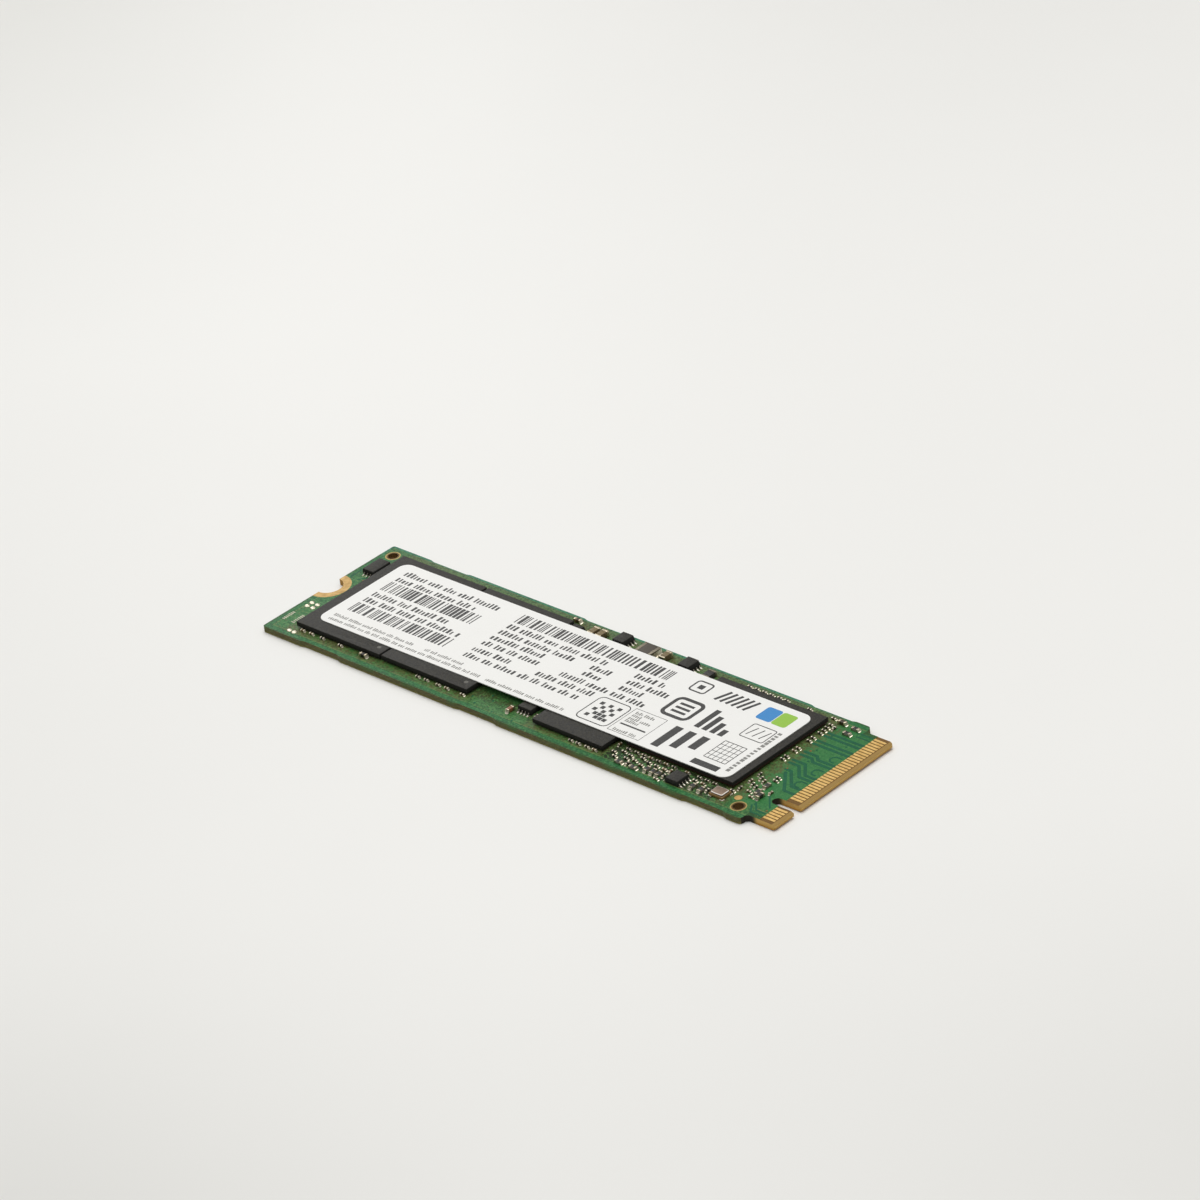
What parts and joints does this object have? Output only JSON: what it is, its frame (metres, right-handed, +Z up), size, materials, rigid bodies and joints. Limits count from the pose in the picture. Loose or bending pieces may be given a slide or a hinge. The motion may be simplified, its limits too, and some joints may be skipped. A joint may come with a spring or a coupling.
{
  "type": "solid state drive card",
  "caption": "Flat solid state storage card with a keyed gold edge connector, a half-round screw notch, memory packages and a plain label.",
  "frame": {"origin": "centre of the card's underside", "axes": "+X along the card towards the edge contacts, +Z up through the label, +Y across the card"},
  "size_m": [0.08, 0.022, 0.0018],
  "materials": {
    "solder_mask": "satin green mask",
    "gold_plating": "satin gold",
    "label_paper": "matt white film",
    "package_mould": "matt",
    "chip_mould": "matt",
    "solder": "satin",
    "tinned_metal": "bright tin",
    "ceramic": "matt ceramic",
    "crystal_metal": "satin",
    "capacitor_ceramic": "matt ceramic",
    "inductor_core": "matt"
  },
  "bodies": {
    "root": {"bead_bodies": "chip_mould", "bead_terminals": "tinned_metal", "cache_package": "package_mould", "cache_solder_balls": "solder", "circuit_board": "solder_mask", "controller_package": "package_mould", "controller_solder_balls": "solder", "crystal_base": "ceramic", "crystal_lid": "crystal_metal", "crystal_terminals": "tinned_metal", "edge_contacts_bottom": "gold_plating", "edge_contacts_top": "gold_plating", "fiducial_pad": "gold_plating", "filter_capacitor_bodies": "capacitor_ceramic", "filter_capacitor_terminals": "tinned_metal", "identity_chip_body": "chip_mould", "identity_chip_leads": "tinned_metal", "inductor_bodies": "inductor_core", "inductor_terminals": "tinned_metal", "label_sheet": "label_paper", "medium_capacitor_bodies": "capacitor_ceramic", "medium_capacitor_terminals": "tinned_metal", "memory_package_inner": "package_mould", "memory_package_outer": "package_mould", "memory_solder_balls_inner": "solder", "memory_solder_balls_outer": "solder", "mount_notch_plating": "gold_plating", "power_chip_body": "chip_mould", "power_switch_body": "chip_mould", "power_switch_leads": "tinned_metal", "regulator_inner_body": "chip_mould", "regulator_inner_leads": "tinned_metal", "regulator_outer_body": "chip_mould", "regulator_outer_leads": "tinned_metal", "resistor_bodies": "chip_mould", "resistor_terminals": "tinned_metal", "sensor_chip_body": "chip_mould", "sensor_chip_leads": "tinned_metal", "small_capacitor_bodies": "capacitor_ceramic", "small_capacitor_terminals": "tinned_metal", "test_pads": "tinned_metal", "tooling_hole_plating": "gold_plating"}
  },
  "joints": []
}
